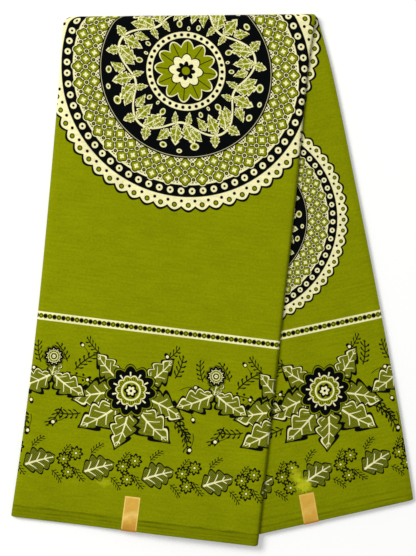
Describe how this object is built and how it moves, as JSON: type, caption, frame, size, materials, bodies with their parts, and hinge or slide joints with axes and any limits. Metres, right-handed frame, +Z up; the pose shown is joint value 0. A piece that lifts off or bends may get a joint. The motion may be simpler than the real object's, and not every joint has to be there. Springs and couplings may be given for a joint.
{
  "type": "folded african print fabric",
  "caption": "Length of printed cotton cloth folded into a flat stack and folded once across, its two arms fanned apart, with foil seals on the hems.",
  "frame": {"origin": "middle of the underside, on the surface that the cloth lies on", "axes": "+Z up from the surface, +Y towards the fold across the stack, +X towards the side that the lower arm fans out to"},
  "size_m": [0.4578, 0.6072, 0.0134],
  "materials": {
    "printed_cloth": "printed plain-weave cotton, matte with a faint calendered sheen",
    "folded_layers": "edges of the folded cotton layers, matte",
    "gold_foil": "satin gold foil paper, slightly wrinkled"
  },
  "bodies": {
    "root": {"front_panel": "printed_cloth", "back_panel": "printed_cloth", "under_panel": "printed_cloth", "front_layers": "folded_layers", "back_layers": "folded_layers", "front_seal": "gold_foil", "back_seal": "gold_foil"}
  },
  "joints": []
}
